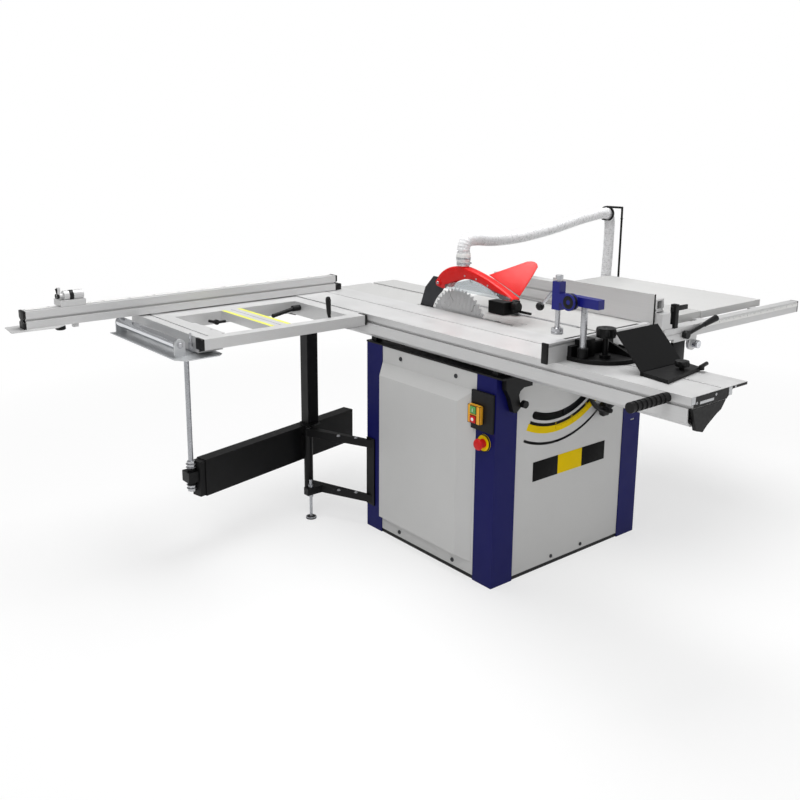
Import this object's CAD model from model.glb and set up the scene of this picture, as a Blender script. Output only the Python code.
"""Sliding table saw: dressed pieces, procedural finishes, floor, light and camera.

Lengths in the tables below are millimetres in the part's own frame; `MM` turns them into metres.
"""
import math

import bmesh
import bpy
from mathutils import Matrix, Vector


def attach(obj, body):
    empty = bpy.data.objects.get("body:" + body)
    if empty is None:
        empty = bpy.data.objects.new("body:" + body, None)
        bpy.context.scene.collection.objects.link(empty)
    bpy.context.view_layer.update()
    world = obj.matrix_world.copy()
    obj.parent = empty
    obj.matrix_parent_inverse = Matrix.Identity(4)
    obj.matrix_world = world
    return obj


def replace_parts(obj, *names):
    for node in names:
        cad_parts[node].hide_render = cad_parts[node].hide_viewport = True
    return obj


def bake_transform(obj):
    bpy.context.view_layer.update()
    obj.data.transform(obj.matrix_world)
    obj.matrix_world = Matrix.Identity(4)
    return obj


MM = 0.001
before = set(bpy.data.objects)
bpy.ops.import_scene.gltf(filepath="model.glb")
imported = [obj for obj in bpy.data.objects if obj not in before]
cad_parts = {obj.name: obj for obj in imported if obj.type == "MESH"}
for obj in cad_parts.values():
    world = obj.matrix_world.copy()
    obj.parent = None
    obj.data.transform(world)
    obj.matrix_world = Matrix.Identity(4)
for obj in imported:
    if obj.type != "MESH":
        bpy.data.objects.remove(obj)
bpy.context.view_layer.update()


# Finishes
def rgb(r, g, b):
    """Display colour 0 to 255 as a linear colour."""
    out = []
    for c in (r, g, b):
        c /= 255
        out.append(c / 12.92 if c <= 0.04045 else ((c + 0.055) / 1.055) ** 2.4)
    return (*out, 1.0)


def shade(colour, k):
    """The same colour, lighter or darker."""
    return (*[min(1.0, c * k) for c in colour[:3]], 1.0)


class Finish:
    """A material on the Principled shader with its detail placed in the part's own metres."""

    def __init__(self, name):
        self.mat = bpy.data.materials.new(name)
        self.mat.use_nodes = True
        self.tree = self.mat.node_tree
        self.tree.nodes.clear()
        self.out = self.tree.nodes.new("ShaderNodeOutputMaterial")
        self.bsdf = self.tree.nodes.new("ShaderNodeBsdfPrincipled")
        self.tree.links.new(self.bsdf.outputs[0], self.out.inputs[0])
        self.coord = self.tree.nodes.new("ShaderNodeTexCoord").outputs["Object"]

    def feed(self, socket, value):
        """Link an output to the socket, or set its value."""
        if isinstance(value, bpy.types.NodeSocket):
            self.tree.links.new(value, socket)
        else:
            socket.default_value = value

    def node(self, kind, inputs=(), **settings):
        n = self.tree.nodes.new(kind)
        for key, value in settings.items():
            setattr(n, key, value)
        for key, value in dict(inputs).items():
            self.feed(n.inputs[key], value)
        return n

    def place(self, stretch, offset=(0, 0, 0)):
        """The part's own coordinates, stretched and moved."""
        return self.node(
            "ShaderNodeMapping",
            {"Vector": self.coord, "Scale": stretch, "Location": offset},
        ).outputs[0]

    def noise(self, scale, stretch=(1, 1, 1), detail=3.0):
        return self.node(
            "ShaderNodeTexNoise",
            {"Vector": self.place(stretch), "Scale": scale, "Detail": detail},
        ).outputs[0]

    def remap(self, value, lo, hi, a=0.0, b=1.0):
        return self.node(
            "ShaderNodeMapRange", {0: value, 1: lo, 2: hi, 3: a, 4: b}
        ).outputs[0]

    def calc(self, operation, a, b=0.0):
        return self.node(
            "ShaderNodeMath", {0: a, 1: b}, operation=operation
        ).outputs[0]

    def mix(self, fac, a, b):
        n = self.node("ShaderNodeMix", data_type="RGBA")
        self.feed(n.inputs[0], fac)
        self.feed(n.inputs[6], a)
        self.feed(n.inputs[7], b)
        return n.outputs[2]


def finish(
    name,
    colour,
    metal=0.0,
    rough=0.5,
    patch=3.0,
    patch_by=0.06,
    grain=600.0,
    stretch=(1, 1, 1),
    grain_by=0.04,
    rough_by=0.12,
    bump=0.15,
    depth=0.0002,
    edge=0.0007,
    worn=None,
    wear=0.5,
    grime=0.0,
    rings=None,
    **plain,
):
    """Colour that drifts over the surface, a fine grain, soft bright edges and uneven gloss."""
    f = Finish(name)
    drift = f.noise(patch)
    fine = f.noise(grain, stretch, 2.0)
    cloud = f.noise(patch * 9, detail=5.0)
    base = f.mix(
        f.remap(drift, 0.3, 0.7), shade(colour, 1 - patch_by), shade(colour, 1 + patch_by)
    )
    dark = f.node(
        "ShaderNodeHueSaturation", {"Value": 1 - 2.2 * grain_by, "Color": base}
    ).outputs[0]
    base = f.mix(f.remap(fine, 0.35, 0.65), dark, base)
    if grime:
        spots = f.remap(cloud, 0.58, 0.72, 0.0, grime)
        base = f.mix(spots, base, shade(colour, 0.45))
    if edge:
        soft = f.node("ShaderNodeBevel", {"Radius": edge}, samples=3)
        flat = f.node("ShaderNodeNewGeometry").outputs["Normal"]
        dot = f.node(
            "ShaderNodeVectorMath", {0: soft.outputs[0], 1: flat}, operation="DOT_PRODUCT"
        ).outputs["Value"]
        line = f.calc(
            "MULTIPLY", f.remap(dot, 0.995, 0.9), f.remap(cloud, 0.4, 0.6, 0.15, wear)
        )
        base = f.mix(line, base, worn or shade(colour, 1.35))
        under = soft.outputs[0]
    else:
        under = None
    f.feed(f.bsdf.inputs["Base Color"], base)
    gloss = f.calc(
        "ADD",
        f.remap(fine, 0.3, 0.7, -rough_by / 2, rough_by / 2),
        f.remap(cloud, 0.3, 0.7, rough - rough_by / 2, rough + rough_by / 2),
    )
    f.feed(f.bsdf.inputs["Roughness"], gloss)
    f.bsdf.inputs["Metallic"].default_value = metal
    height = fine
    if rings:
        centre, scale, kind, direction, deep = rings
        wave = f.node(
            "ShaderNodeTexWave",
            {
                "Vector": f.place((1, 1, 1), [-c * MM for c in centre]),
                "Scale": scale,
                "Distortion": 0.6,
                "Detail": 2.0,
            },
            wave_type=kind,
            **{f"{kind.lower()}_direction": direction},
        ).outputs["Fac"]
        height = f.calc("ADD", fine, f.calc("MULTIPLY", wave, deep))
    inputs = {"Height": height, "Strength": bump, "Distance": depth}
    if under is not None:
        inputs["Normal"] = under
    f.feed(f.bsdf.inputs["Normal"], f.node("ShaderNodeBump", inputs).outputs[0])
    for key, value in plain.items():
        f.bsdf.inputs[key.replace("_", " ")].default_value = value
    return f.mat


PEEL = dict(grain=900.0, bump=0.12, depth=0.00025, rough_by=0.08, grain_by=0.015)
M = {
    "navy_paint": finish("navy_powder_coat", rgb(12, 15, 86), rough=0.5, patch=2.0,
                         patch_by=0.08, worn=rgb(56, 60, 124), grime=0.05,
                         Specular_IOR_Level=0.14, **PEEL),
    "blue_paint": finish("blue_enamel", rgb(22, 26, 118), rough=0.34, patch=14.0,
                         worn=rgb(60, 64, 140), wear=0.2, Specular_IOR_Level=0.3, **PEEL),
    "grey_paint": finish("light_grey_powder_coat", rgb(197, 197, 196), rough=0.48, patch=1.6,
                         patch_by=0.025, worn=rgb(226, 226, 226), grime=0.02, **PEEL),
    "black_paint": finish("black_powder_coat", rgb(12, 12, 13), rough=0.45, patch=5.0,
                          patch_by=0.18, worn=rgb(60, 60, 62),
                          Specular_IOR_Level=0.2, **{**PEEL, "bump": 0.3}),
    "black_plastic": finish("moulded_black_plastic", rgb(16, 16, 17), rough=0.5, patch=11.0,
                            patch_by=0.15, grain=1500.0, bump=0.25, depth=0.0001,
                            worn=rgb(44, 44, 46), wear=0.3, Specular_IOR_Level=0.25),
    "cast_table": finish("ground_cast_iron", rgb(196, 196, 195), metal=0.25, rough=0.42,
                         patch=2.2, patch_by=0.02, grain=260.0, stretch=(1, 14, 14),
                         grain_by=0.02, bump=0.1, depth=0.00006, grime=0.015,
                         worn=rgb(240, 240, 240)),
    "alu_y": finish("extruded_aluminium_lengthwise", rgb(206, 206, 206), metal=0.35, rough=0.42,
                    patch=1.5, patch_by=0.02, grain=420.0, stretch=(1, 0.012, 1),
                    grain_by=0.02, bump=0.1, depth=0.0001, worn=rgb(240, 240, 240)),
    "alu_x": finish("extruded_aluminium_crosswise", rgb(206, 206, 206), metal=0.35, rough=0.42,
                    patch=1.5, patch_by=0.02, grain=420.0, stretch=(0.012, 1, 1),
                    grain_by=0.02, bump=0.1, depth=0.0001, worn=rgb(240, 240, 240)),
    "sheet_steel": finish("zinc_plated_sheet", rgb(196, 198, 200), metal=0.7, rough=0.4,
                          patch=8.0, patch_by=0.06, grain=300.0, grain_by=0.04, bump=0.08,
                          depth=0.00008, worn=rgb(232, 232, 232)),
    "steel": finish("turned_steel", rgb(186, 187, 190), metal=0.8, rough=0.3, patch=20.0,
                    grain=900.0, stretch=(1, 1, 6), bump=0.12, depth=0.00005,
                    edge=0.0004, worn=rgb(200, 200, 202), wear=0.3),
    "chrome": finish("bright_chrome", rgb(214, 216, 220), metal=1.0, rough=0.1, patch=12.0,
                     patch_by=0.02, grain=500.0, grain_by=0.01, rough_by=0.05, bump=0.02,
                     depth=0.00004, worn=rgb(240, 240, 240)),
    "thread": finish("threaded_rod", rgb(176, 178, 182), metal=0.95, rough=0.3, patch=20.0,
                     bump=0.6, depth=0.0004, rings=((0, 0, 0), 90.0, "BANDS", "Z", 1.2)),
    "blade": finish("ground_saw_plate", rgb(206, 206, 207), metal=0.7, rough=0.36, patch=12.0,
                    patch_by=0.05, grain=300.0, bump=0.12, depth=0.00005, edge=0.0003,
                    rings=((-105, 150, 797.5), 420.0, "RINGS", "X", 0.8)),
    "dark_steel": finish("burnished_steel", rgb(62, 63, 66), metal=0.7, rough=0.4, patch=10.0,
                         patch_by=0.12, grain=500.0, bump=0.15, worn=rgb(150, 150, 152)),
    "iron": finish("raw_casting", rgb(78, 80, 84), metal=0.25, rough=0.62, patch=12.0,
                   patch_by=0.15, grain=700.0, bump=0.6, depth=0.0006, worn=rgb(120, 120, 122)),
    "red_guard": finish("red_guard_plastic", rgb(214, 24, 22), rough=0.36, patch=6.0,
                        patch_by=0.04, grain=1200.0, bump=0.06, depth=0.0001,
                        worn=rgb(226, 60, 56), Specular_IOR_Level=0.25),
    "clear": finish("clear_shield", rgb(226, 230, 232), rough=0.09, patch=10.0, grain=800.0,
                    bump=0.02, edge=0.0, Transmission_Weight=0.86, IOR=1.3),
    "hose": finish("milky_hose", rgb(250, 250, 251), rough=0.3, patch=9.0, patch_by=0.015,
                   grain=500.0, bump=0.1, edge=0.0, Transmission_Weight=0.28, IOR=1.12),
    "hose_fold": finish("milky_hose_folds", rgb(246, 246, 247), rough=0.3, patch=9.0,
                        patch_by=0.02, grain=500.0, bump=0.1, edge=0.0,
                        Transmission_Weight=0.28, IOR=1.12),
    "yellow": finish("yellow_plastic", rgb(236, 168, 36), rough=0.42, patch=20.0, patch_by=0.05,
                     grain=1500.0, bump=0.15, worn=rgb(250, 214, 130)),
    "yellow_film": finish("yellow_scale_film", rgb(232, 198, 0), rough=0.6, patch=12.0,
                          patch_by=0.04, grain=800.0, bump=0.05, edge=0.0,
                          Specular_IOR_Level=0.08),
    "lime_film": finish("pale_yellow_tape", rgb(224, 226, 96), rough=0.5, patch=12.0,
                        patch_by=0.06, grain=800.0, bump=0.05, edge=0.0),
    "line_film": finish("violet_grey_line", rgb(150, 148, 176), rough=0.5, patch=12.0,
                        grain=800.0, bump=0.05, edge=0.0),
    "black_film": finish("black_film", rgb(14, 14, 14), rough=0.6, patch=12.0, patch_by=0.1,
                         grain=900.0, bump=0.05, edge=0.0, Specular_IOR_Level=0.08),
    "white_film": finish("white_film", rgb(238, 238, 236), rough=0.5, patch=12.0, patch_by=0.02,
                         grain=900.0, bump=0.05, edge=0.0),
    "red": finish("red_plastic", rgb(206, 24, 24), rough=0.4, patch=24.0, patch_by=0.05,
                  grain=1500.0, bump=0.1, worn=rgb(226, 70, 66), Specular_IOR_Level=0.25),
    "green": finish("green_plastic", rgb(84, 158, 78), rough=0.36, patch=24.0, patch_by=0.05,
                    grain=1500.0, bump=0.1, worn=rgb(150, 200, 140)),
    "rubber": finish("black_rubber", rgb(34, 34, 35), rough=0.75, patch=20.0, patch_by=0.15,
                     grain=1300.0, bump=0.5, depth=0.0002, worn=rgb(70, 70, 70), wear=0.3),
}


# Pieces
def basis(direction):
    """Two directions at right angles to the given one."""
    d = Vector(direction).normalized()
    u = d.orthogonal().normalized()
    if abs(d.z) < 0.9:
        u = Vector((0, 0, 1)).cross(d).normalized()
    return d, u, d.cross(u)


class Part:
    """Solids drawn in millimetres and joined into one object."""

    def __init__(self):
        self.bm = bmesh.new()

    def rings(self, rows, close_ends=True):
        """Skin a list of closed rings with the same number of points."""
        verts = [[self.bm.verts.new(Vector(p) * MM) for p in row] for row in rows]
        n = len(rows[0])
        for a, b in zip(verts, verts[1:]):
            for i in range(n):
                j = (i + 1) % n
                self.bm.faces.new((a[i], a[j], b[j], b[i]))
        if close_ends:
            self.bm.faces.new(list(reversed(verts[0])))
            self.bm.faces.new(verts[-1])
        return self

    def prism(self, axis, lo, hi, pts):
        """Outline in the plane across the axis, as in the source's plate modules."""
        def put(t, p):
            return {"x": (t, p[0], p[1]), "y": (p[0], t, p[1]), "z": (p[0], p[1], t)}[axis]
        return self.rings([[put(t, p) for p in pts] for t in (lo, hi)])

    def box(self, x0, x1, y0, y1, z0, z1):
        return self.prism("z", z0, z1, [(x0, y0), (x1, y0), (x1, y1), (x0, y1)])

    def turn(self, base, direction, profile, sides=48, lobes=0, wave=0.0):
        """Turned shape: profile rows are (along, radius); lobes make a hand knob."""
        d, u, v = basis(direction)
        rows = []
        for along, r in profile:
            row = []
            for i in range(sides):
                a = 2 * math.pi * i / sides
                k = r * (1 + wave * math.cos(lobes * a)) if lobes else r
                row.append(Vector(base) + d * along + (u * math.cos(a) + v * math.sin(a)) * k)
            rows.append(row)
        return self.rings(rows)

    def rod(self, a, b, r, sides=32):
        d = Vector(b) - Vector(a)
        c = min(0.6, r * 0.15)
        return self.turn(a, d, [(0, r - c), (c, r), (d.length - c, r), (d.length, r - c)], sides)

    def screw(self, at, direction, r=8, h=5):
        """Button head with a round socket."""
        return self.turn(at, direction, [(0, r), (h * 0.45, r), (h * 0.85, r * 0.82), (h, r * 0.55),
                                         (h, r * 0.42), (h * 0.4, r * 0.38), (h * 0.4, 0.05)], 24)

    def nut(self, at, direction, r=8, h=6):
        self.turn(at, direction, [(0, r * 1.25), (1.2, r * 1.25)], 32)
        return self.turn(at, direction, [(1.2, r * 0.94), (1.8, r), (h - 0.8, r), (h, r * 0.9)], 6)

    def done(self, name, body, finish_name, slot, bevel=0.0, segments=2, angle=35):
        bmesh.ops.recalc_face_normals(self.bm, faces=self.bm.faces)
        mesh = bpy.data.meshes.new(name)
        self.bm.to_mesh(mesh)
        self.bm.free()
        return mount(mesh, name, body, finish_name, bevel, segments, angle)


def mount(mesh, name, body, finish_name, bevel=0.0, segments=2, angle=35):
    """Object from a mesh, with rounded edges, smooth faces, finish and its body, if it has one."""
    obj = bpy.data.objects.new(name, mesh)
    bpy.context.scene.collection.objects.link(obj)
    mesh.materials.append(M[finish_name])
    if bevel:
        mod = obj.modifiers.new("edges", "BEVEL")
        mod.width = bevel * MM
        mod.segments = segments
        mod.limit_method = "ANGLE"
        mod.angle_limit = math.radians(angle)
        mod.harden_normals = False
        graph = bpy.context.evaluated_depsgraph_get()
        done = bpy.data.meshes.new_from_object(obj.evaluated_get(graph))
        obj.modifiers.clear()
        obj.data = done
        mesh = done
    mesh.shade_smooth()
    mesh.set_sharp_from_angle(angle=math.radians(angle))
    if body:
        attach(obj, body)
    return obj


def numbers(name, body, finish_name, marks, size):
    """Plain figures: each mark is (text, place in mm, across, up)."""
    bm = bmesh.new()
    for text, at, across, up in marks:
        curve = bpy.data.curves.new("figure", "FONT")
        curve.body = text
        curve.size = size * MM
        curve.align_x = "CENTER"
        curve.align_y = "CENTER"
        curve.extrude = 0.00008
        holder = bpy.data.objects.new("figure", curve)
        bpy.context.scene.collection.objects.link(holder)
        graph = bpy.context.evaluated_depsgraph_get()
        mesh = bpy.data.meshes.new_from_object(holder.evaluated_get(graph))
        x, y = Vector(across).normalized(), Vector(up).normalized()
        z = x.cross(y)
        turn = Matrix((x, y, z)).transposed().to_4x4()
        turn.translation = Vector(at) * MM
        mesh.transform(turn)
        bm.from_mesh(mesh)
        bpy.data.objects.remove(holder)
        bpy.data.curves.remove(curve)
        bpy.data.meshes.remove(mesh)
    mesh = bpy.data.meshes.new(name)
    bm.to_mesh(mesh)
    bm.free()
    return mount(mesh, name, body, finish_name)


# Camera
camera = bpy.data.objects.new("camera", bpy.data.cameras.new("camera"))
bpy.context.scene.collection.objects.link(camera)
camera.data.lens = 42.62
camera.data.sensor_width = 36.0
camera.data.shift_y = -0.075
camera.data.clip_end = 200.0
eye = (-2.5423, -2.4631, 1.5746)
pitch, roll = math.radians(-13.0), math.radians(0.4)
ahead = Vector((0.635, 0.773, 0)).normalized() * math.cos(pitch)
ahead.z = math.sin(pitch)
look = ahead.to_track_quat("-Z", "Y").to_matrix()
look = look @ Matrix.Rotation(roll, 3, "Z")
camera.matrix_world = Matrix.Translation(eye) @ look.to_4x4()
bpy.context.scene.camera = camera


# Hose
HOSE = [
    (-105, 130, 1062.3), (-105, 130, 1087), (-105, 130, 1112), (-84, 135, 1138),
    (-20, 148, 1138), (60, 166, 1128), (143, 185, 1122), (260, 211, 1119), (370, 236, 1121),
    (495, 264, 1127), (618, 291, 1136), (760, 323, 1149), (891, 352, 1158), (1000, 378, 1162),
    (1064, 392, 1156), (1092, 399, 1128), (1100, 402, 1080), (1101, 404, 960),
    (1099, 410, 800), (1097, 420, 600), (1082, 432, 400), (1024, 446, 200), (910, 462, 72),
    (760, 476, 31), (600, 488, 27), (440, 498, 27), (280, 505, 27), (140, 508, 42),
    (20, 506, 92), (-62, 492, 160), (-112, 455, 205), (-130, 410, 210), (-130, 380, 210),
    (-130, 347.3, 210),
]
HOSE_R = 25
HOSE_WALL = 1.6
HOSE_SIDES = 24
RING_STEP = 2.4
RIB_DEPTH = 2.4
RIB_RINGS = 4  # rings of the route from one rib to the next


def smooth(points, step):
    """Catmull-Rom curve through the points, resampled at even steps."""
    pts = [Vector(p) for p in points]
    dense = []
    for i in range(len(pts) - 1):
        a, b = pts[max(i - 1, 0)], pts[i]
        c, d = pts[i + 1], pts[min(i + 2, len(pts) - 1)]
        for j in range(24):
            t = j / 24
            dense.append(0.5 * (2 * b + (c - a) * t + (2 * a - 5 * b + 4 * c - d) * t * t
                                + (3 * b - a - 3 * c + d) * t ** 3))
    dense.append(pts[-1])
    total = sum((q - p).length for p, q in zip(dense, dense[1:]))
    count = max(2, round(total / step))
    out, k, run = [dense[0]], 0, 0.0
    for i in range(1, count):
        goal = total * i / count
        while run + (dense[k + 1] - dense[k]).length < goal:
            run += (dense[k + 1] - dense[k]).length
            k += 1
        out.append(dense[k].lerp(dense[k + 1], (goal - run) / (dense[k + 1] - dense[k]).length))
    out.append(dense[-1])
    return out


def tube(path, radii, sides, first=(1, 0, 0)):
    """Rings carried along a path without twist."""
    rows, side = [], Vector(first)
    for i, p in enumerate(path):
        t = (path[min(i + 1, len(path) - 1)] - path[max(i - 1, 0)]).normalized()
        side = (side - t * side.dot(t)).normalized()
        over = t.cross(side)
        rows.append([p + (side * math.cos(a) + over * math.sin(a)) * radii[i]
                     for a in (2 * math.pi * k / sides for k in range(sides))])
    return rows


route = smooth(HOSE, RING_STEP)
ribs = [HOSE_R - RIB_DEPTH * (0.5 + 0.5 * math.cos(2 * math.pi * i / RIB_RINGS))
        for i in range(len(route))]
outer = tube(route, ribs, HOSE_SIDES)
inner = tube(route, [r - HOSE_WALL for r in ribs], HOSE_SIDES)


def hose_run(name, first, last, body=None):
    """The hose wall from one ring of the route to another."""
    part, rings = Part(), last - first + 1
    part.rings(outer[first:last + 1], close_ends=False)
    part.rings(inner[first:last + 1], close_ends=False)
    part.bm.verts.ensure_lookup_table()
    total = rings * HOSE_SIDES
    for start, other in ((0, total), (total - HOSE_SIDES, 2 * total - HOSE_SIDES)):
        for k in range(HOSE_SIDES):
            j = (k + 1) % HOSE_SIDES
            part.bm.faces.new([part.bm.verts[i] for i in
                               (start + k, start + j, other + j, other + k)])
    run = part.done(name, body, "hose", "hose_plastic", angle=80)
    run.data.materials.append(M["hose_fold"])
    for face in run.data.polygons:
        ring = face.index // HOSE_SIDES
        if ring < rings - 1 and (ring + first) % RIB_RINGS in (0, RIB_RINGS - 1):
            face.material_index = 1
    return run


# the first bends give way to the guard's hinge, the blade's lift and its tilt, one after another
hinge_end = next(i for i, q in enumerate(route) if q.x > -70)
lift_end = next(i for i, q in enumerate(route) if q.x > -6)
tilt_end = next(i for i, q in enumerate(route) if q.x > 480)
hose_neck = hose_run("ribbed_hose_neck", 0, hinge_end)
hose_bend = hose_run("ribbed_hose_bend", hinge_end, lift_end)
hose_span = hose_run("ribbed_hose_span", lift_end, tilt_end)
hose = hose_run("ribbed_hose", tilt_end, len(route) - 1, "frame")
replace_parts(hose, "dust_hose")
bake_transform(hose_neck)
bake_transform(hose_bend)
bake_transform(hose_span)


def hose_end(tag, body, at, out):
    """Cuff over an end of the hose, and the clamp round it."""
    cuff = Part().turn(at, out, [(0, 25.4), (0, 26.4), (1, 27), (22, 27), (30, 26), (30, 25.2)],
                       64)
    d, u, v = basis(out)
    clamp = Part().turn(Vector(at) + d * 6, out, [(0, 27), (0, 27.8), (9, 27.8), (9, 27)], 64)
    ear = Vector(at) + d * 10.5 + u * 30
    clamp.rod(ear - v * 9, ear + v * 11, 3.6, 20)
    clamp.turn(ear + v * 11, v, [(0, 5), (5, 5), (5, 2.4), (3, 2.2), (3, 0.1)], 6)
    return [cuff.done(f"hose_cuff_{tag}", body, "white_film", "hose_plastic", bevel=0.3),
            clamp.done(f"hose_clamp_{tag}", body, "steel", "steel", bevel=0.2)]


hose_end("guard", "guard", (-105, 130, 1063), (0, 0, 1))
port_end = hose_end("port", "frame", (-130, 349, 210), (0, 1, 0))


# Finishes of the CAD nodes
TABLE = {
    "navy_paint": ["corner_posts"],
    "grey_paint": ["left_panel", "side_cover", "right_panel", "front_panel", "back_panel",
                   "extension_table"],
    "cast_table": ["main_table", "table_insert", "rear_table"],
    "black_paint": ["cabinet_frame", "dust_hopper", "arm_bracket", "front_casting",
                    "hose_hanger", "edge_shoe", "fence_base", "swing_arm", "arm_slide",
                    "gauge_head"],
    "black_plastic": ["switch_box", "beam_end_caps", "fence_lever", "push_handle",
                      "clamp_lever", "tilt_lock_knob", "height_handwheel", "tilt_handwheel"],
    "alu_y": ["slide_beam", "carriage_top", "fence_beam", "fence_face", "outrigger_frame"],
    "alu_x": ["fence_rail", "crosscut_fence", "front_fence", "fence_carrier", "flip_stop"],
    "iron": ["trunnion_shoes", "tilt_cradle", "lift_slide", "saw_motor"],
    "steel": ["saw_arbor", "motor_pulley", "scoring_blade", "hold_down_spindle", "gauge_bar"],
    "thread": ["levelling_foot"],
    "sheet_steel": ["roller_plate"],
    "chrome": ["fine_adjust_knob", "support_roller"],
    "dark_steel": ["riving_knife"],
    "blade": ["saw_blade"],
    "red_guard": ["blade_guard"],
    "clear": ["guard_shields"],
    "blue_paint": ["hold_down"],
    "hose": ["dust_hose"],
    "green": ["start_button"],
    "red": ["stop_button", "estop_button"],
}
for key, names in TABLE.items():
    for node in names:
        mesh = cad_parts[node].data
        mesh.materials.clear()
        mesh.materials.append(M[key])


# Cabinet
screws = Part()
for y in (-150, 150):
    for z in (35, 721):
        screws.screw((-391, y, z), (-1, 0, 0), 8, 5)
        screws.screw((391, y, z), (1, 0, 0), 8, 5)
        screws.screw((y, 347, z), (0, 1, 0), 8, 5)
for x in (-85, 78):
    screws.screw((x, -347, 32), (0, -1, 0), 7, 4)
screws.done("panel_screws", "frame", "dark_steel", "steel", bevel=0.3)

AX, AZ = -90, 860  # the line about which the blade tilts
FACE = -347  # front panel


def arc(r, a0, a1, n):
    """Points round the tilt line, in degrees from straight down."""
    return [(AX + r * math.sin(math.radians(a0 + (a1 - a0) * i / n)),
             AZ - r * math.cos(math.radians(a0 + (a1 - a0) * i / n))) for i in range(n + 1)]


def band(r0, r1, a0, a1, y0, y1):
    return Part().prism("y", y0, y1, arc(r0, a0, a1, 40) + arc(r1, a1, a0, 40))


band(314, 325, -24.5, 44, FACE - 0.7, FACE).done(
    "scale_dark_band", "frame", "black_film", "black_paint")
band(325, 350, -25.5, 44, FACE - 0.6, FACE).done(
    "scale_yellow_band", "frame", "yellow_film", "yellow_plastic")
ticks = Part()
for a in range(44):
    s, c = math.sin(math.radians(a)), math.cos(math.radians(a))
    long = 14 if a % 15 == 0 else 10 if a % 5 == 0 else 6
    p, q = (Vector((AX + r * s, AZ - r * c)) for r in (326, 326 + long))
    w = Vector((c, s)) * 0.4
    ticks.prism("y", FACE - 0.9, FACE - 0.5, [p - w, q - w, q + w, p + w])
ticks.done("scale_ticks", "frame", "black_film", "black_paint")
marks = []
for a in (0, 15, 30):
    s, c = math.sin(math.radians(a)), math.cos(math.radians(a))
    marks.append((str(a), (AX + 319.5 * s, FACE - 0.9, AZ - 319.5 * c), (c, 0, s), (-s, 0, c)))
numbers("scale_figures", "frame", "yellow_film", marks, 10)

for name, x0, x1, key, slot in (("left", -200, -70, "black_film", "black_paint"),
                                ("middle", -70, 60, "yellow_film", "yellow_plastic"),
                                ("right", 60, 190, "black_film", "black_paint")):
    Part().box(x0, x1, FACE - 0.7, FACE, 346, 418).done(
        f"blank_plate_{name}", "frame", key, slot, bevel=0.2)

Part().box(-421.6, -403.6, -301.6, -242.4, 585.4, 650.6).done(
    "switch_housing", "frame", "yellow", "yellow_plastic", bevel=4, segments=3)
rim = Part()
for z in (602, 634):
    rim.prism("x", -423, -421, [(-286, z - 14), (-256, z - 14), (-256, z + 14), (-286, z + 14)])
rim.done("switch_button_rims", "frame", "black_plastic", "black_plastic", bevel=0.8)
for name, z, key, slot in (("start", 634, "green", "green_plastic"),
                           ("stop", 602, "red", "red_plastic")):
    key_top = Part().box(-426.5, -413, -284, -258, z - 12, z + 12)
    button = key_top.done(f"{name}_key", name, key, slot, bevel=2.4, segments=4)
    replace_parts(button, f"{name}_button")
sign = Part().box(-426.9, -426.4, -272, -270, 628, 640)
sign.done("start_bar", "start", "white_film", "green_plastic")
sign = Part().turn((-426.4, -271, 602), (-1, 0, 0), [(0, 4.2), (0, 6), (0.5, 6), (0.5, 4.2)], 40)
sign.done("stop_ring", "stop", "white_film", "red_plastic")
disc = Part().turn((-394, -300, 520), (-1, 0, 0), [(0, 30.3), (2, 30.3), (6.4, 27), (6.4, 14)], 64)
disc.done("estop_disc", "frame", "yellow_film", "yellow_plastic", bevel=0.5)
neck = Part().turn((-400, -300, 520), (-1, 0, 0), [(0, 16), (6, 15), (14.2, 14.3), (14.2, 9.4)], 48)
neck.done("estop_collar", "frame", "red", "red_plastic", bevel=0.5)
head = Part().turn((-412.5, -300, 520), (-1, 0, 0), [
    (0, 8.4), (5, 8.4), (6, 17), (8, 20), (12, 20.3), (16, 18), (18.4, 13), (19, 6), (19, 0.1)], 48)
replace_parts(head.done("estop_head", "estop", "red", "red_plastic", angle=50), "estop_button")


# Table surface
TOP = 860
fixings = Part()
for x, y in ((-66, -146), (-66, 120), (-66, 370), (-122.5, -146), (-122.5, 370)):
    fixings.turn((x, y, TOP - 0.4), (0, 0, 1),
                 [(0, 4.6), (0.55, 4.6), (0.55, 2.6), (0.1, 2.2), (0.1, 0.1)], 24)
fixings.done("insert_screws", "frame", "dark_steel", "steel")
gaps = Part()
gaps.box(671.6, 672.4, -400, 382, TOP - 0.4, TOP + 0.12)
gaps.box(-54.3, -53.7, -158, 382, TOP - 0.4, TOP + 0.1)
gaps.box(-130, -54, -158.3, -157.7, TOP - 0.4, TOP + 0.1)
gaps.box(-130, 188, 381.7, 382.3, TOP - 0.4, TOP + 0.1)
gaps.done("table_joints", "frame", "black_film", "cast_table")

tape = Part().box(-110, 1304, -460.5, -460, 815, 829)
tape.done("rail_tape", "frame", "white_film", "aluminium")
lines = Part()
for i in range(139):
    x = -87 + i * 10
    tall = 10 if i % 10 == 0 else 7 if i % 5 == 0 else 4
    lines.box(x - 0.35, x + 0.35, -460.8, -460.4, 829 - tall, 829)
lines.done("rail_tape_lines", "frame", "black_film", "aluminium")
caps = Part()
caps.box(1302, 1310, -460.4, -424.6, 789.6, 836.4)
caps.box(-117.3, -110, -460.4, -424.6, 789.6, 836.4)
caps.done("rail_caps", "frame", "black_plastic", "black_plastic", bevel=1.5)


# Blade guard
def along(points, count):
    """Evenly spaced points on a smooth line in the blade's plane."""
    pts = smooth([(0, y, z) for y, z in points], 1.0)
    return [pts[round(i * (len(pts) - 1) / count)] for i in range(count + 1)]


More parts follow.
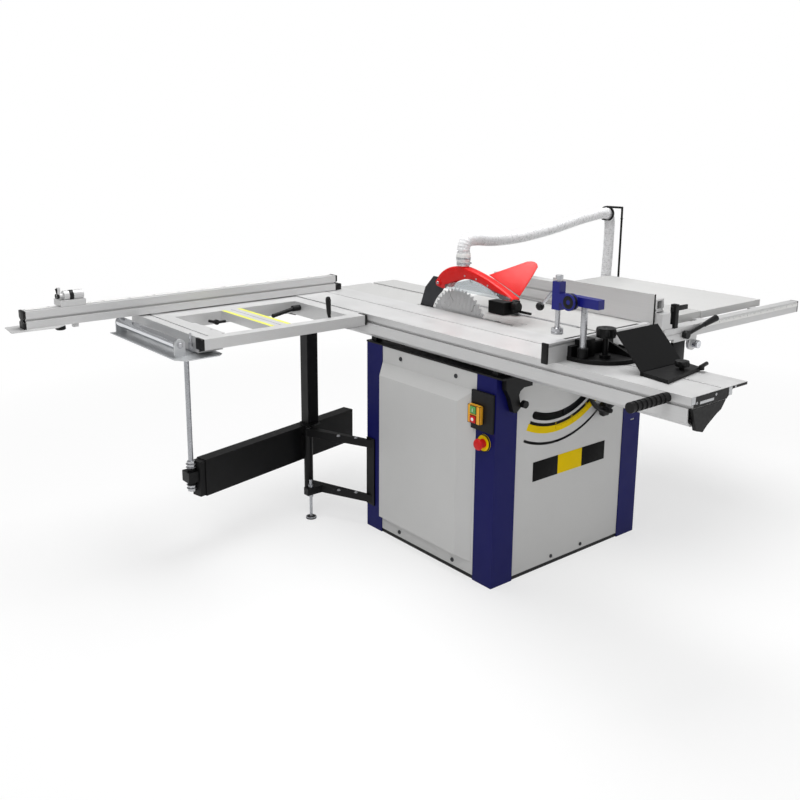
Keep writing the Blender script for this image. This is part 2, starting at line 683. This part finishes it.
upper = along([(-149, 958), (-110, 978), (-60, 998), (-10, 1016), (60, 1034), (120, 1043),
               (180, 1036), (225, 1016), (254, 990), (261, 968)], 56)
lower = along([(-146, 951), (-94, 951), (-60, 968), (0, 990), (64, 1001), (120, 995),
               (180, 975), (207, 950), (240, 950), (258, 958)], 56)
GUARD_LEFT, GUARD_RIGHT, GUARD_WALL = -125, -85, 2.4
rows = []
for t, b in zip(upper, lower):
    h = t - b
    up = h.normalized()
    r = min(9.0, h.length * 0.45)
    row = [Vector((GUARD_LEFT, b.y, b.z))]
    for edge, way, angles in ((GUARD_LEFT, 1, range(0, 91, 18)),
                              (GUARD_RIGHT, -1, range(90, -1, -18))):
        for a in angles:
            c, s = math.cos(math.radians(a)), math.sin(math.radians(a))
            row.append(Vector((edge + way * (r - r * c), *(t - up * (r - r * s)).yz)))
    row.append(Vector((GUARD_RIGHT, b.y, b.z)))
    hollow = []
    for p in reversed(row):
        k = Vector((p.x + math.copysign(GUARD_WALL, -105 - p.x), p.y, p.z))
        lift = max(0.0, (p - Vector((p.x, b.y, b.z))).dot(up))
        k -= up * (GUARD_WALL * min(1.0, lift / max(h.length - r, 1)))
        hollow.append(k)
    rows.append(row + hollow)
guard = Part().rings(rows)
WING = [(-84, 12, 1022), (-84, -146, 965), (-40, -140, 1002), (0, -133, 1036), (18, -129, 1052),
        (27, -127, 1060), (32, -118, 1069), (32, -106, 1074), (27, -94, 1075.5), (18, -82, 1074)]
away = (Vector(WING[1]) - Vector(WING[0])).cross(Vector(WING[7]) - Vector(WING[0])).normalized()
guard.rings([[Vector(p) + away * k for p in WING] for k in (-1.5, 1.5)])
guard.turn((-105, 130, 1036), (0, 0, 1), [(0, 22), (9, 22), (9, 15.6), (0, 15.6)], 48)
guard.turn((-125, 246, 967), (-1, 0, 0), [(0, 14), (2.5, 14), (4, 12), (4, 0.1)], 40)
shell = guard.done("guard_shell", "guard", "red_guard", "red_guard", bevel=0.8, angle=40)
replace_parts(shell, "blade_guard")
port = Part().turn((-105, 130, 1045), (0, 0, 1), [(0, 23), (1, 25), (17, 25), (17, 19), (37, 18),
                                                  (37, 15.6), (0, 15.6)], 48)
port.done("guard_port", "guard", "white_film", "hose_plastic", bevel=0.4)
clamp = Part().turn((-105, 130, 1049), (0, 0, 1), [(0, 25), (0, 26), (9, 26), (9, 25)], 64)
clamp.rod((-76, 118, 1053.5), (-76, 140, 1053.5), 3.4, 20)
clamp.done("guard_port_clamp", "guard", "steel", "steel", bevel=0.2)
pivots = Part()
pivots.screw((-129, 246, 967), (-1, 0, 0), 6, 4)
for y, z in ((-73, 966), (61, 996)):
    pivots.screw((-129.6, y, z), (-1, 0, 0), 4.6, 2.6)
for i in (9, 17, 25, 33):
    p = upper[i].lerp(lower[i], 0.72)
    pivots.screw((-125, p.y, p.z), (-1, 0, 0), 3.4, 2)
pivots.done("guard_screws", "guard", "steel", "steel", bevel=0.2)

# Saw blade
BY, BZ = 150, 797.5
TEETH = 48


def on_blade(r, a):
    """Point of the blade's plane at a radius and an angle in radians."""
    return BY + r * math.cos(a), BZ + r * math.sin(a)


outline = [on_blade(r, math.radians(360 / TEETH * i + d)) for i in range(TEETH)
           for r, d in ((147.5, -4.9), (146.5, -4.0), (147.5, -3.1), (150.5, -2.4), (156.5, -0.9),
                        (157.0, 0.0), (155.6, 1.0), (150.0, 1.9))][::-1]
blade = Part().prism("x", -106.1, -103.9, outline)
disc = blade.done("blade_plate", "arbor", "blade", "steel", bevel=0.15)
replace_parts(disc, "saw_blade")
tips = Part()
for i in range(TEETH):
    a = math.radians(360 / TEETH * i)
    u, v = Vector((0, math.cos(a), math.sin(a))), Vector((0, -math.sin(a), math.cos(a)))
    o = Vector((-105, BY, BZ))
    quad = [(150.5, -0.4), (157.4, -0.6), (157.0, 2.2), (150.5, 2.6)]
    tips.rings([[o + u * r + v * t + Vector((w, 0, 0)) for r, t in quad] for w in (-1.6, 1.6)])
tips.done("carbide_tips", "arbor", "chrome", "steel", bevel=0.1)
slots = Part()
for i in range(6):
    a = math.radians(60 * i + 11)
    for k in range(7):
        r0, r1 = 102 + k * 5.4, 102 + (k + 1) * 5.4
        a0, a1 = a + 0.035 * math.sin(k * 0.9), a + 0.035 * math.sin((k + 1) * 0.9)
        p = [on_blade(r, b) for r, b in
             ((r0, a0 - 0.005), (r1, a1 - 0.005), (r1, a1 + 0.005), (r0, a0 + 0.005))]
        slots.prism("x", -106.2, -103.8, p)
slots.done("blade_slots", "arbor", "black_film", "steel")


# Wheels
def wheel(name, node, body, centre, out, r, reach, grip_at):
    """Dished hand wheel: rim, three tapered spokes, turned hub, crank grip."""
    d, u, v = basis(out)
    c = Vector(centre)
    p = Part()
    rows = []
    for i in range(72):
        a = 2 * math.pi * i / 72
        radial = u * math.cos(a) + v * math.sin(a)
        rows.append([c + radial * (r - 9 + 9 * math.cos(b)) + d * 8.6 * math.sin(b)
                     for b in (2 * math.pi * k / 16 for k in range(16))])
    rows.append(rows[0])
    p.rings(rows, close_ends=False)
    bmesh.ops.remove_doubles(p.bm, verts=p.bm.verts, dist=1e-6)
    for a in (math.radians(30), math.radians(150), math.radians(270)):
        radial = u * math.cos(a) + v * math.sin(a)
        side = d.cross(radial)
        rows = []
        for t, w, h in ((12, 12, 7), (40, 9, 5), (r - 22, 7, 4.5), (r - 10, 9, 5)):
            o = c + radial * t
            rows.append([o + side * w * math.cos(b) + d * h * math.sin(b)
                         for b in (2 * math.pi * k / 12 for k in range(12))])
        p.rings(rows)
    p.turn(c - d * 8, out, [(-reach, 8), (0, 8), (0, 19), (4, 20), (17, 20), (20, 17), (20, 9)], 40)
    obj = p.done(name, body, "black_plastic", "black_plastic", angle=50)
    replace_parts(obj, node)
    g = c + u * grip_at[0] + v * grip_at[1]
    grip = Part().turn(g + d * 8, out, [
        (0, 6), (1, 9), (10, 10.8), (24, 10.2), (32, 8), (35, 4), (35, 0.1)], 40)
    grip.done(f"{name}_grip", body, "black_plastic", "black_plastic", angle=50)
    hub = Part().turn(c + d * 12, out, [(0, 8), (0, 7), (3, 7), (4, 4), (4, 0.1)], 32)
    hub.done(f"{name}_cap", body, "chrome", "chrome", angle=50)


wheel("height_wheel", "height_handwheel", "height_wheel", (118.6, -398, 658.5), (0, -1, 0),
      r=100, reach=73, grip_at=(-16, -88))
wheel("tilt_wheel", "tilt_handwheel", "tilt_wheel", (424, -100, 560), (1, 0, 0),
      r=90, reach=52, grip_at=(52, -52))


def knob(name, at, direction, r, h, body, lobes=0, wave=0.0, node=None):
    """Hand knob with a recessed cap, a star where it has lobes."""
    p = Part().turn(at, direction, [
        (0, r * 0.72), (h * 0.12, r * 0.93), (h * 0.35, r), (h * 0.75, r), (h * 0.93, r * 0.9),
        (h, r * 0.66), (h, r * 0.3), (h * 0.94, r * 0.25), (h * 0.94, 0.1)], 96, lobes, wave)
    obj = p.done(name, body, "black_plastic", "black_plastic", angle=50)
    if node:
        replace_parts(obj, node)


lock = Part()
lock.turn((148.3, -348.5, 555), (0, -1, 0), [(0, 11), (11, 11), (12, 14)], 40)
lock.done("lock_boss", "tilt_lock", "black_plastic", "black_plastic", bevel=0.5)
knob("lock_knob", (148.3, -359, 555), (0, -1, 0), 27.5, 24, "tilt_lock", 6, 0.07,
     node="tilt_lock_knob")
knob("gauge_star", (33, -7, 892), (0, -1, 0), 18.5, 25.5, "gauge_swivel", 6, 0.08)
knob("shoe_star", (-202, -914, 882.5), (0, 0, 1), 20.5, 17.5, "shoe", 6, 0.08)
knob("fence_star", (-255, -674, 934.5), (0, 0, 1), 30.5, 29.5, "ffence", 6, 0.09)
knob("arm_knob", (-350, -615, 1046), (-1, 0, 0), 26.4, 20.6, "hold")

side = Part()
side.rod((-160, -948, 880), (-112, -938, 882), 6, 24)
side.turn((-150, -946, 870), (0, 0, 1), [(0, 8), (8, 8), (10, 7), (10, 0.1)], 32)
side.done("shoe_side_rod", "shoe", "black_plastic", "black_plastic", angle=50)

HOLD_X, HOLD_Y, SPINDLE_Y = -333, -650, -545
post = Part().turn((HOLD_X, HOLD_Y, 905), (0, 0, 1),
                   [(0, 10), (0, 10.4), (128.6, 10.4), (128.6, 10)], 40)
post.rod((HOLD_X, -534, 1073), (HOLD_X, -474, 1012), 5.5, 24)
post.box(-319.2, -311.6, -552.4, -541.6, 1074.6, 1093.4)
post.done("hold_down_steel", "hold", "steel", "steel", bevel=0.2, angle=50)
ball = Part().turn((HOLD_X, -470, 994.2), (0, 0, 1), [
    (13.8 - 13.8 * math.cos(math.pi * i / 12), max(0.1, 13.8 * math.sin(math.pi * i / 12)))
    for i in range(13)], 40)
ball.done("hold_down_ball", "hold", "black_plastic", "black_plastic", angle=60)
pad = Part().turn((HOLD_X, SPINDLE_Y, 932.6), (0, 0, 1), [
    (0, 17), (1.5, 19.4), (8, 19.4), (12, 15), (18, 12), (24, 8.4), (24, 7)], 48)
pad.done("hold_down_pad", "press", "steel", "steel", bevel=0.3, angle=50)
collar = Part().turn((HOLD_X, SPINDLE_Y, 1105), (0, 0, 1),
                     [(0, 12.4), (10, 12.4), (12.4, 10), (12.4, 0.1)], 6)
collar.done("hold_down_collar", "press", "steel", "steel", bevel=0.4)
ends = Part().box(-446.4, -439, -607.4, -584.6, 862.9, 926.7)
ends.box(-350, 15, -596, -585, 925.6, 926.6)
ends.done("front_fence_black", "ffence", "black_plastic", "black_plastic", bevel=0.6)


# Sliding table
for tag, x0, x1 in (("left", -1102.6, -1091.5), ("right", -420.6, -409.6)):
    Part().box(x0, x1, 329.4, 375.6, 821.4, 860.6).done(
        f"rail_cap_{tag}", "carriage", "black_plastic", "black_plastic", bevel=2)
stripes = Part()
stripes.box(-805, -789, 376, 734, 859.8, 860.4)
stripes.box(-737, -721, 376, 734, 859.8, 860.4)
stripes.done("slat_stripes", "carriage", "lime_film", "yellow_plastic")
Part().box(-764.5, -761.5, 376, 734, 859.8, 860.4).done(
    "slat_line", "carriage", "line_film", "steel")
face = Part().prism("y", -1086.6, -1085.8, [
    (-405, 862), (-136, 862), (-136, 855), (-208, 855), (-236, 831), (-395, 831), (-395, 841),
    (-405, 841)])
face.done("carriage_end_face", "carriage", "black_plastic", "black_plastic")
trim = Part()
trim.box(-406, -388, -1087.4, -1086, 842, 862.6)
trim.box(-228, -212, -1087.4, -1086, 838, 862.6)
trim.box(-366, -300, -1087.2, -1086.4, 838, 846)
trim.done("carriage_end_trim", "carriage", "sheet_steel", "aluminium", bevel=0.4)
bolts = Part()
for x, z in ((-380, 844), (-290, 853), (-195, 858.5)):
    bolts.screw((x, -1086, z), (0, -1, 0), 4, 1.9)
for y in (400, 860):
    for k in (-18, 18):
        bolts.screw((-410, y + k, 851), (-1, 0, 0), 4.5, 3.5)
bolts.screw((-566, -1010, 848), (-1, 0, 0), 4.5, 3)
for y, way in ((386, -1), (869, 1)):
    bolts.nut((-1155, y, 840), (0, way, 0), 9, 7)
bolts.nut((-1030, 845, 864.6), (0, 0, 1), 7, 0.9)
bolts.done("carriage_bolts", "carriage", "steel", "steel", bevel=0.2)

lever = Part().turn((-544, 375, 846), (0, 1, 0), [(0, 11), (9, 11), (11, 9), (11, 0.1)], 32)
lever.rod((-544, 381, 850), (-549, 381, 868), 6, 24)
lever.turn((-549, 381, 866), (-0.06, 0, 1),
           [(0, 6), (10, 8), (60, 10), (70, 8), (73, 4), (73, 0.1)], 32)
lever.done("rail_clamp_lever", "carriage", "black_plastic", "black_plastic", angle=50)
lever = Part().turn((-850, 700, 828), (0, -1, 0), [(0, 10), (12, 10), (14, 7), (14, 0.1)], 32)
lever.rod((-850, 690, 828), (-885, 688, 838), 5.5, 24)
lever.rod((-850, 690, 828), (-815, 688, 828), 5.5, 24)
lever.done("slat_clamp_lever", "carriage", "black_plastic", "black_plastic", angle=50)
peg = Part().box(-1112, -1102, 392, 412, 815, 840)
peg.rod((-1107, 402, 838), (-1107, 402, 872), 4, 24)
peg.done("rail_peg", "carriage", "steel", "steel", bevel=0.6)


# Crosscut fence
stop = Part().turn((-1351, 847, 964.5), (1, 0, 0), [(0, 18), (0, 18.5), (15, 18.5), (15, 18)], 48)
stop.rod((-1385, 847, 962), (-1392, 847, 992), 4.5, 20)
stop.turn((-1396, 847, 964.5), (1, 0, 0), [(0, 0.1), (0, 8), (3, 9.6), (12, 9.6), (12, 9)], 32)
stop.done("stop_block_black", "stop_block", "black_plastic", "black_plastic", angle=50)
under = Part().turn((-1385, 850, 862), (0, 0, -1),
                    [(0, 8), (4, 8), (5, 17), (16, 18), (19, 14), (19, 0.1)], 40)
under.done("plate_knob", "xfence", "black_plastic", "black_plastic", angle=50)
PROFILE = [(821, 865), (821, 887), (835, 895), (821, 903), (821, 928), (869, 928), (869, 903),
           (855, 895), (869, 887), (869, 865)]
MID_Y, MID_Z, CAP_SCALE = 845, 896.5, 1.012
grown = [(MID_Y + (y - MID_Y) * CAP_SCALE, MID_Z + (z - MID_Z) * CAP_SCALE) for y, z in PROFILE]
ends = Part()
ends.prism("x", -1520.4, -1511.5, grown)
ends.prism("x", -205.4, -196.6, grown)
ends.box(-197, -170.6, 826.6, 863.4, 864.6, 889.4)
ends.done("crosscut_caps", "xfence", "black_plastic", "black_plastic", bevel=0.8)
rule = Part().box(-1500, -215, 848, 862, 927.6, 928.4)
rule.done("crosscut_tape", "xfence", "white_film", "aluminium")
lines = Part()
marks = []
for i in range(128):
    x = -220 - i * 10
    tall = 9 if i % 10 == 0 else 6 if i % 5 == 0 else 4
    lines.box(x - 0.35, x + 0.35, 848, 848 + tall, 928.3, 928.6)
    if i % 10 == 0 and i:
        marks.append((str(i * 10), (x, 859.2, 928.55), (1, 0, 0), (0, 1, 0)))
lines.done("crosscut_lines", "xfence", "black_film", "aluminium")
numbers("crosscut_figures", "xfence", "black_film", marks, 6)


# Rip fence
dark = Part()
dark.box(384.6, 405.4, -482.4, -459.6, 841.6, 930.4)
dark.box(374.6, 470.4, -475.4, -465.6, 904.6, 921.4)
dark.box(385.6, 457.4, -482.6, -469.6, 699.6, 788)
dark.box(302.6, 311, -446, -444.4, 861.8, 972.4)
dark.done("fence_dark_parts", "rip_fence", "black_paint", "black_paint", bevel=1.2)
knurled = Part().turn((508, -482.6, 770), (0, -1, 0), [
    (0, 13.6), (1, 15), (20, 15), (22, 14.4), (24, 14.9), (26.6, 14.6), (27.4, 12), (27.4, 5),
    (26.4, 4), (26.4, 0.1)], sides=160, lobes=40, wave=0.012)
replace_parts(knurled.done("adjuster_grip", "adjuster", "chrome", "chrome", angle=24),
            "fine_adjust_knob")


# Swing arm
STRUT_X, STRUT_Y = -1055, 545
strut = Part().turn((STRUT_X, STRUT_Y, 338.6), (0, 0, 1),
                    [(0, 9), (0, 9.4), (457.8, 9.4), (457.8, 9)], 32)
strut.done("strut_thread", "arm_inner", "thread", "steel", angle=50)
nuts = Part()
for z, way in ((338.2, 1), (351, 1), (271.6, -1), (258.8, -1)):
    nuts.nut((STRUT_X, STRUT_Y, z), (0, 0, way), 15.4, 12.4)
nuts.done("strut_nuts", "arm_inner", "steel", "steel", bevel=0.4)
hardware = Part()
for z in (134, 362):
    hardware.nut((-505, 600, z), (0, 0, 1), 9, 6)
for z in (134, 362):
    for x in (-430, -470):
        hardware.nut((x, 321 + (-x - 394) * 1.55, z), (0, 0, 1), 6, 5)
hardware.done("bracket_nuts", "frame", "steel", "steel", bevel=0.3)
foot = Part().turn((-536, 540, 0), (0, 0, 1), [(0, 21.4), (5, 21.4), (8.4, 16), (8.4, 6)], 48)
foot.done("foot_pad", "frame", "rubber", "black_plastic", bevel=0.6)


# Floor, light, size
HALF = 40
mesh = bpy.data.meshes.new("floor")
mesh.from_pydata([(-HALF, -HALF, 0), (HALF, -HALF, 0), (HALF, HALF, 0), (-HALF, HALF, 0)], [],
                 [(0, 1, 2, 3)])
floor = bpy.data.objects.new("floor", mesh)
bpy.context.scene.collection.objects.link(floor)
f = Finish("pale_floor")
f.bsdf.inputs["Roughness"].default_value = 0.8
f.bsdf.inputs["Base Color"].default_value = (0.86, 0.86, 0.86, 1)
glow = f.node("ShaderNodeEmission", {"Color": (1, 1, 1, 1), "Strength": 1.0})
far = f.node("ShaderNodeVectorMath", {0: f.coord}, operation="LENGTH").outputs["Value"]
path = f.node("ShaderNodeLightPath").outputs
seen = f.calc("MAXIMUM", path["Is Camera Ray"], path["Is Glossy Ray"])
seen = f.calc("MAXIMUM", seen, path["Is Transmission Ray"])
# white further off, with the object's shadow kept near it
blend = f.calc("MULTIPLY", f.remap(far, 1.2, 3.4, 0.62, 1.0), seen)
both = f.node("ShaderNodeMixShader", {0: blend})
f.tree.links.new(f.bsdf.outputs[0], both.inputs[1])
f.tree.links.new(glow.outputs[0], both.inputs[2])
f.tree.links.new(both.outputs[0], f.out.inputs[0])
floor.data.materials.append(f.mat)

world = bpy.data.worlds.new("studio")
bpy.context.scene.world = world
world.use_nodes = True
tree = world.node_tree
sky = tree.nodes["Background"]
sky.inputs["Color"].default_value = (1, 1, 1, 1)
path = tree.nodes.new("ShaderNodeLightPath")
pick = tree.nodes.new("ShaderNodeMath")
pick.operation = "MAXIMUM"
tree.links.new(path.outputs["Is Camera Ray"], pick.inputs[0])
tree.links.new(path.outputs["Is Transmission Ray"], pick.inputs[1])
# white where it is looked at, dimmer as a light
level = tree.nodes.new("ShaderNodeMapRange")
level.inputs[3].default_value = 0.34
level.inputs[4].default_value = 1.0
tree.links.new(pick.outputs[0], level.inputs[0])
tree.links.new(level.outputs[0], sky.inputs["Strength"])


def lamp(name, at, aim, size, power):
    """Round area light, its size in metres and its power in watts."""
    data = bpy.data.lights.new(name, "AREA")
    data.shape = "DISK"
    data.size = size
    data.energy = power
    obj = bpy.data.objects.new(name, data)
    bpy.context.scene.collection.objects.link(obj)
    way = Vector(aim) - Vector(at)
    obj.matrix_world = Matrix.Translation(at) @ way.to_track_quat("-Z", "Y").to_matrix().to_4x4()


lamp("key", (-3.2, -1.4, 3.6), (-0.1, 0.1, 0.7), 2.2, 56)
lamp("overhead", (0.2, 0.6, 4.2), (0.1, 0.1, 0.8), 3.0, 158)
lamp("fill", (2.0, -4.0, 2.4), (0.1, 0.0, 0.6), 2.6, 26)

bpy.context.scene.view_settings.view_transform = "Standard"
